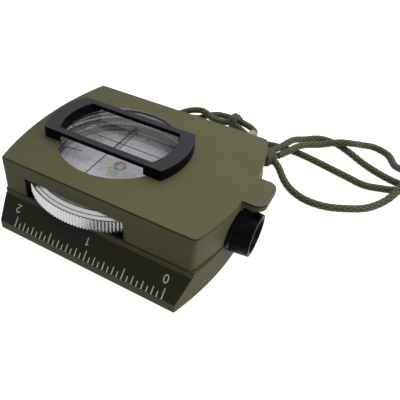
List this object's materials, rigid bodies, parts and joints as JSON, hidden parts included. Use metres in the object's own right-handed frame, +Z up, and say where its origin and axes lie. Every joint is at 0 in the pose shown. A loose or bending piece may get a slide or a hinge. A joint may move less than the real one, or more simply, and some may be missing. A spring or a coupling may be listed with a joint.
{
  "type": "magnetic compass",
  "caption": "Pocket sighting compass with a folding windowed lid, turning bezel, pivoted dial, focusing eyepiece, bevelled rulers and a braided lanyard.",
  "frame": {"origin": "mouth of the tripod thread, in the underside and on the axis of the dial", "axes": "+X from the hinge towards the eyepiece and the thumb tab, along the rulers; +Z up, away from the tripod thread"},
  "size_m": [0.1271, 0.1107, 0.0265],
  "materials": {
    "olive_paint": "fine matt paint",
    "black_paint": "satin black enamel",
    "grey_paint": "matt dark grey",
    "steel": "bright",
    "bezel_metal": "turned, bright",
    "scale_enamel": "matt cream",
    "brass": "turned",
    "cup_alloy": "anodised dark",
    "card": "printed",
    "magnet_steel": "ground",
    "jewel": "polished",
    "luminous": "luminous paint",
    "glass": "clear",
    "gasket_rubber": "matt",
    "lanyard_braid": "braided cord"
  },
  "bodies": {
    "base": {"base_housing": "olive_paint", "bottom_plate": "olive_paint", "bottom_screws": "steel", "tripod_bush": "brass", "lanyard_eye": "black_paint", "capsule_cup": "cup_alloy", "capsule_screws": "steel", "fill_plug": "brass", "sight_port": "glass", "crystal_gasket": "gasket_rubber", "capsule_crystal": "glass", "crystal_retainer": "bezel_metal", "pivot_post": "brass", "pivot_needle": "steel", "bezel_washer": "steel", "sight_prism": "glass", "eyepiece_bracket": "black_paint", "bracket_screws": "steel", "eyepiece_barrel": "black_paint", "hinge_pins": "steel", "lanyard_front_loop": "lanyard_braid", "lanyard_inner_loop": "lanyard_braid", "lanyard_rear_run": "lanyard_braid", "lanyard_eye_loop": "lanyard_braid", "lanyard_knot": "lanyard_braid", "lanyard_wrap": "lanyard_braid", "lanyard_tip": "steel"},
    "bezel": {"bezel_ring": "bezel_metal", "bezel_scale": "scale_enamel"},
    "dial": {"dial_card": "card", "dial_magnet": "magnet_steel", "dial_hub": "brass", "dial_jewel": "jewel", "dial_arrow": "luminous"},
    "lens_slide": {"lens_cell": "cup_alloy", "eyepiece_lens": "glass", "lens_retainer": "black_paint", "cell_pin": "steel"},
    "focus_knob": {"focus_ring": "black_paint", "cell_clip": "steel"},
    "lid": {"lid_shell": "olive_paint", "lid_window": "glass", "window_ring": "steel", "sight_frame": "grey_paint", "sight_screws": "steel"}
  },
  "joints": [
    {"name": "lid_fold", "type": "hinge", "parent": "base", "child": "lid", "pos_m": [-0.027, 0, 0.0093], "axis": [0, -1, 0], "range_deg": [0, 115]},
    {"name": "bezel_turn", "type": "hinge", "parent": "base", "child": "bezel", "pos_m": [0, 0, 0.0145], "axis": [0, 0, 1], "continuous": true},
    {"name": "dial_spin", "type": "hinge", "parent": "base", "child": "dial", "pos_m": [0, 0, 0.0121], "axis": [0, 0, 1], "continuous": true},
    {"name": "focus_slide", "type": "slide", "parent": "base", "child": "lens_slide", "axis": [1, 0, 0], "range_m": [0, 0.0015]},
    {"name": "focus_turn", "type": "hinge", "parent": "lens_slide", "child": "focus_knob", "pos_m": [0.0455, -0.006, 0.0128], "axis": [1, 0, 0], "range_deg": [0, 272]}
  ],
  "couplings": [
    {"joint": "focus_turn", "follows": "focus_slide", "rad_per_m": 3141.6}
  ]
}
